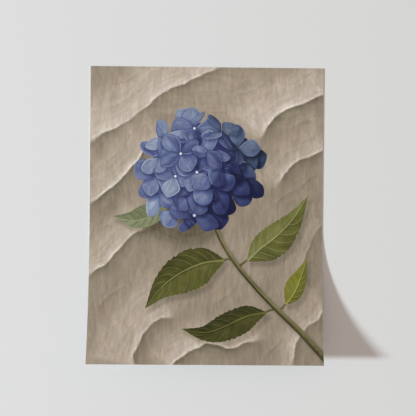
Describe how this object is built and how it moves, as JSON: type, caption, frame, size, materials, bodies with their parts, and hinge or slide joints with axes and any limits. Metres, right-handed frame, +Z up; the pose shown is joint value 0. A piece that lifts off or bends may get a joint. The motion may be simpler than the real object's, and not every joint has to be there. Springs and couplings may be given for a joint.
{
  "type": "unframed art print",
  "caption": "Thin rectangular sheet of heavy matt paper with a borderless printed picture; lies face up, its lower end curled up off the table.",
  "frame": {"origin": "centre of the sheet's footprint, on the table it lies on", "axes": "+X across the picture to its right, +Y up the picture towards its top edge, +Z up out of the printed face"},
  "size_m": [0.2794, 0.3524, 0.0284],
  "materials": {
    "printed_paper": "matt"
  },
  "bodies": {
    "root": {"print_sheet": "printed_paper"}
  },
  "joints": []
}
